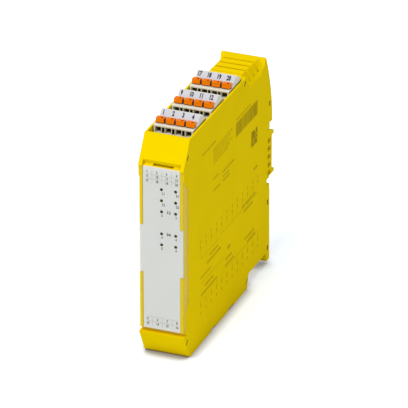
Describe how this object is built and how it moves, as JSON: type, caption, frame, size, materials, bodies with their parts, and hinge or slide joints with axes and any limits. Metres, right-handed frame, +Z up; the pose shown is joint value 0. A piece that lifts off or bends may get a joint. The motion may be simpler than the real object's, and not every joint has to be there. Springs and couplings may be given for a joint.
{
  "type": "safety relay",
  "caption": "Slim safety relay module for a 35 mm rail: yellow housing, clear front flap over a label with indicators, plug-in terminal blocks with orange release levers.",
  "frame": {"origin": "centre of the bounding box in plan, at the flat foot of the housing", "axes": "+X across the module to the side with the cover, +Y from the label towards the rail, +Z up"},
  "size_m": [0.0226, 0.1186, 0.1169],
  "materials": {
    "housing_yellow": "satin",
    "cover_clear": "clear gloss",
    "label_white": "matt",
    "guide_clear": "clear gloss",
    "board_green": "satin",
    "lamp_body": "gloss",
    "relay_case": "satin",
    "component_black": "matt",
    "contact_brass": "tin plated",
    "spring_steel": "satin",
    "plug_cream": "satin",
    "header_grey": "satin",
    "marker_white": "matt",
    "lever_orange": "satin"
  },
  "bodies": {
    "housing": {"housing_shell": "housing_yellow", "side_cover": "housing_yellow", "label_plate": "label_white", "light_guide_left": "guide_clear", "light_guide_right": "guide_clear", "indicator_board": "board_green", "indicator_leds": "lamp_body", "main_board": "board_green", "top_terminal_board": "board_green", "bottom_terminal_board": "board_green", "relay_k1": "relay_case", "relay_k2": "relay_case", "power_converter": "component_black", "buffer_capacitor": "component_black", "controller_a": "component_black", "controller_b": "component_black", "bus_connector": "housing_yellow", "bus_contacts": "contact_brass", "foot_spring": "spring_steel", "terminal_plug_top_front": "plug_cream", "pin_header_top_front": "header_grey", "marker_strip_top_front": "marker_white", "terminal_plug_top_middle": "plug_cream", "pin_header_top_middle": "header_grey", "marker_strip_top_middle": "marker_white", "terminal_plug_top_rear": "plug_cream", "pin_header_top_rear": "header_grey", "marker_strip_top_rear": "marker_white", "terminal_plug_bottom_front": "plug_cream", "pin_header_bottom_front": "header_grey", "marker_strip_bottom_front": "marker_white", "terminal_plug_bottom_rear": "plug_cream", "pin_header_bottom_rear": "header_grey", "marker_strip_bottom_rear": "marker_white", "header_pins_top": "contact_brass", "header_pins_bottom": "contact_brass", "clamp_springs_top": "spring_steel", "clamp_springs_bottom": "spring_steel"},
    "front_flap": {"front_cover": "cover_clear"},
    "foot": {"rail_foot": "housing_yellow"},
    "lever_1": {"release_lever_1": "lever_orange"},
    "lever_2": {"release_lever_2": "lever_orange"},
    "lever_3": {"release_lever_3": "lever_orange"},
    "lever_4": {"release_lever_4": "lever_orange"},
    "lever_5": {"release_lever_5": "lever_orange"},
    "lever_6": {"release_lever_6": "lever_orange"},
    "lever_7": {"release_lever_7": "lever_orange"},
    "lever_8": {"release_lever_8": "lever_orange"},
    "lever_9": {"release_lever_9": "lever_orange"},
    "lever_10": {"release_lever_10": "lever_orange"},
    "lever_11": {"release_lever_11": "lever_orange"},
    "lever_12": {"release_lever_12": "lever_orange"},
    "lever_13": {"release_lever_13": "lever_orange"},
    "lever_14": {"release_lever_14": "lever_orange"},
    "lever_15": {"release_lever_15": "lever_orange"},
    "lever_16": {"release_lever_16": "lever_orange"},
    "lever_17": {"release_lever_17": "lever_orange"},
    "lever_18": {"release_lever_18": "lever_orange"},
    "lever_19": {"release_lever_19": "lever_orange"},
    "lever_20": {"release_lever_20": "lever_orange"}
  },
  "joints": [
    {"name": "flap_hinge", "type": "hinge", "parent": "housing", "child": "front_flap", "pos_m": [0, -0.05705, 0.0162], "axis": [1, 0, 0], "range_deg": [0, 95]},
    {"name": "foot_slide", "type": "slide", "parent": "housing", "child": "foot", "axis": [0, 0, -1], "range_m": [0, 0.0021], "stiffness_N_per_m": 400, "springref_m": -0.002, "deforming": ["foot_spring"]},
    {"name": "lever_1_slide", "type": "slide", "parent": "housing", "child": "lever_1", "axis": [0, 1, 0], "range_m": [0, 0.0013], "stiffness_N_per_m": 400, "springref_m": -0.0005},
    {"name": "lever_2_slide", "type": "slide", "parent": "housing", "child": "lever_2", "axis": [0, 1, 0], "range_m": [0, 0.0013], "stiffness_N_per_m": 400, "springref_m": -0.0005},
    {"name": "lever_3_slide", "type": "slide", "parent": "housing", "child": "lever_3", "axis": [0, 1, 0], "range_m": [0, 0.0013], "stiffness_N_per_m": 400, "springref_m": -0.0005},
    {"name": "lever_4_slide", "type": "slide", "parent": "housing", "child": "lever_4", "axis": [0, 1, 0], "range_m": [0, 0.0013], "stiffness_N_per_m": 400, "springref_m": -0.0005},
    {"name": "lever_5_slide", "type": "slide", "parent": "housing", "child": "lever_5", "axis": [0, 1, 0], "range_m": [0, 0.0013], "stiffness_N_per_m": 400, "springref_m": -0.0005},
    {"name": "lever_6_slide", "type": "slide", "parent": "housing", "child": "lever_6", "axis": [0, 1, 0], "range_m": [0, 0.0013], "stiffness_N_per_m": 400, "springref_m": -0.0005},
    {"name": "lever_7_slide", "type": "slide", "parent": "housing", "child": "lever_7", "axis": [0, 1, 0], "range_m": [0, 0.0013], "stiffness_N_per_m": 400, "springref_m": -0.0005},
    {"name": "lever_8_slide", "type": "slide", "parent": "housing", "child": "lever_8", "axis": [0, 1, 0], "range_m": [0, 0.0013], "stiffness_N_per_m": 400, "springref_m": -0.0005},
    {"name": "lever_9_slide", "type": "slide", "parent": "housing", "child": "lever_9", "axis": [0, 1, 0], "range_m": [0, 0.0013], "stiffness_N_per_m": 400, "springref_m": -0.0005},
    {"name": "lever_10_slide", "type": "slide", "parent": "housing", "child": "lever_10", "axis": [0, 1, 0], "range_m": [0, 0.0013], "stiffness_N_per_m": 400, "springref_m": -0.0005},
    {"name": "lever_11_slide", "type": "slide", "parent": "housing", "child": "lever_11", "axis": [0, 1, 0], "range_m": [0, 0.0013], "stiffness_N_per_m": 400, "springref_m": -0.0005},
    {"name": "lever_12_slide", "type": "slide", "parent": "housing", "child": "lever_12", "axis": [0, 1, 0], "range_m": [0, 0.0013], "stiffness_N_per_m": 400, "springref_m": -0.0005},
    {"name": "lever_13_slide", "type": "slide", "parent": "housing", "child": "lever_13", "axis": [0, 1, 0], "range_m": [0, 0.0013], "stiffness_N_per_m": 400, "springref_m": -0.0005},
    {"name": "lever_14_slide", "type": "slide", "parent": "housing", "child": "lever_14", "axis": [0, 1, 0], "range_m": [0, 0.0013], "stiffness_N_per_m": 400, "springref_m": -0.0005},
    {"name": "lever_15_slide", "type": "slide", "parent": "housing", "child": "lever_15", "axis": [0, 1, 0], "range_m": [0, 0.0013], "stiffness_N_per_m": 400, "springref_m": -0.0005},
    {"name": "lever_16_slide", "type": "slide", "parent": "housing", "child": "lever_16", "axis": [0, 1, 0], "range_m": [0, 0.0013], "stiffness_N_per_m": 400, "springref_m": -0.0005},
    {"name": "lever_17_slide", "type": "slide", "parent": "housing", "child": "lever_17", "axis": [0, 1, 0], "range_m": [0, 0.0013], "stiffness_N_per_m": 400, "springref_m": -0.0005},
    {"name": "lever_18_slide", "type": "slide", "parent": "housing", "child": "lever_18", "axis": [0, 1, 0], "range_m": [0, 0.0013], "stiffness_N_per_m": 400, "springref_m": -0.0005},
    {"name": "lever_19_slide", "type": "slide", "parent": "housing", "child": "lever_19", "axis": [0, 1, 0], "range_m": [0, 0.0013], "stiffness_N_per_m": 400, "springref_m": -0.0005},
    {"name": "lever_20_slide", "type": "slide", "parent": "housing", "child": "lever_20", "axis": [0, 1, 0], "range_m": [0, 0.0013], "stiffness_N_per_m": 400, "springref_m": -0.0005}
  ]
}
